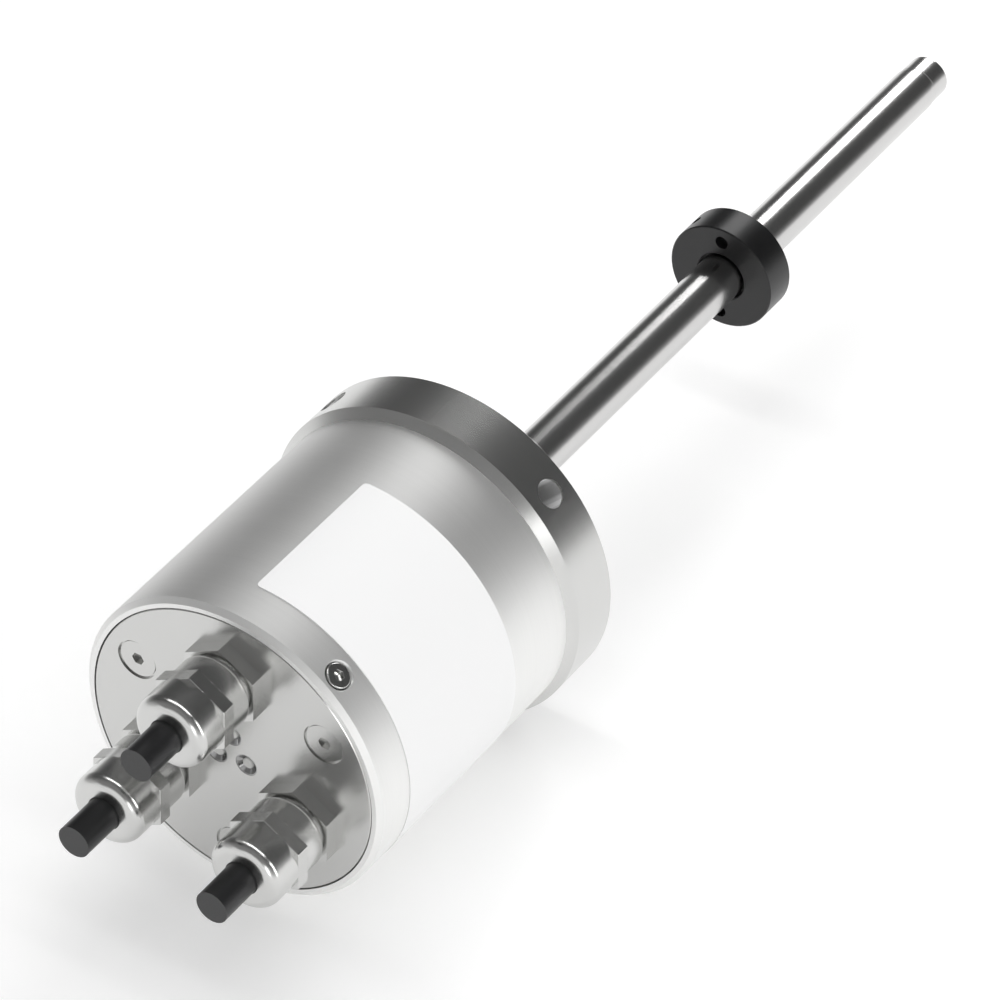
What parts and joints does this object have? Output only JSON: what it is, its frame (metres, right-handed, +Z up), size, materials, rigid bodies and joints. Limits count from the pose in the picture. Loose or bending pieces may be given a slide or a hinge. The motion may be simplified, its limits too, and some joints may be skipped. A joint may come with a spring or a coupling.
{
  "type": "magnetostrictive linear position sensor",
  "caption": "Rod-style linear position sensor: cylindrical housing with cable glands on its rear cover, a screw-in flange, and a long thin rod that carries a sliding ring magnet.",
  "frame": {"origin": "centre of the flange's flat mounting face, on the axis of thread and rod", "axes": "+X along the rod towards its tip, away from the housing; +Z up, through the upper cable gland; +Y to the side"},
  "size_m": [0.3622, 0.0896, 0.0896],
  "materials": {
    "flange_steel": "fine turned stainless steel",
    "rod_steel": "drawn stainless steel tube",
    "housing_steel": "satin ground stainless steel",
    "cover_steel": "fine turned stainless steel",
    "screw_steel": "stainless steel screws",
    "gland_nickel": "nickel plated brass",
    "magnet_dark": "dark bonded magnet, satin",
    "seal_rubber": "black rubber",
    "cable_sheath": "black cable sheath, satin",
    "label_film": "white printed film",
    "lamp_black": "black lamp holder",
    "lamp_clear": "clear lens",
    "pillar_aluminium": "turned aluminium",
    "carrier_plastic": "moulded dark grey plastic",
    "board_laminate": "green circuit board",
    "terminal_plastic": "moulded terminal block",
    "coil_copper": "enamelled copper wire on a bobbin",
    "waveguide_sleeve": "natural plastic sleeve over the waveguide wire",
    "damper_rubber": "soft silicone rubber"
  },
  "bodies": {
    "sensor": {"flange": "flange_steel", "housing_tube": "housing_steel", "rear_cover": "cover_steel", "rating_label": "label_film", "cover_lock_screw": "screw_steel", "rod_tube": "rod_steel", "rod_end_plug": "rod_steel", "electronics_carrier": "carrier_plastic", "board_screws": "screw_steel", "housing_oring": "seal_rubber", "cover_oring": "seal_rubber", "face_seal_ring": "seal_rubber", "gland_body_1": "gland_nickel", "gland_cap_1": "gland_nickel", "gland_seal_1": "seal_rubber", "cable_1": "cable_sheath", "lamp_holder_1": "lamp_black", "lamp_lens_1": "lamp_clear", "circuit_board_1": "board_laminate", "terminal_block_1": "terminal_plastic", "waveguide_1": "waveguide_sleeve", "pickup_coil_1": "coil_copper", "gland_oring_1": "seal_rubber", "waveguide_spacer_1": "damper_rubber", "gland_body_2": "gland_nickel", "gland_cap_2": "gland_nickel", "gland_seal_2": "seal_rubber", "cable_2": "cable_sheath", "lamp_holder_2": "lamp_black", "lamp_lens_2": "lamp_clear", "circuit_board_2": "board_laminate", "terminal_block_2": "terminal_plastic", "waveguide_2": "waveguide_sleeve", "pickup_coil_2": "coil_copper", "gland_oring_2": "seal_rubber", "waveguide_spacer_2": "damper_rubber", "gland_body_3": "gland_nickel", "gland_cap_3": "gland_nickel", "gland_seal_3": "seal_rubber", "cable_3": "cable_sheath", "lamp_holder_3": "lamp_black", "lamp_lens_3": "lamp_clear", "circuit_board_3": "board_laminate", "terminal_block_3": "terminal_plastic", "waveguide_3": "waveguide_sleeve", "pickup_coil_3": "coil_copper", "gland_oring_3": "seal_rubber", "waveguide_spacer_3": "damper_rubber", "tie_pillar_1": "pillar_aluminium", "cover_screw_1": "screw_steel", "tie_pillar_2": "pillar_aluminium", "cover_screw_2": "screw_steel", "tie_pillar_3": "pillar_aluminium", "cover_screw_3": "screw_steel", "end_damper": "damper_rubber"},
    "magnet": {"magnet_ring": "magnet_dark"}
  },
  "joints": [
    {"name": "magnet_slide", "type": "slide", "parent": "sensor", "child": "magnet", "axis": [1, 0, 0], "range_m": [-0.076, 0.039]}
  ]
}
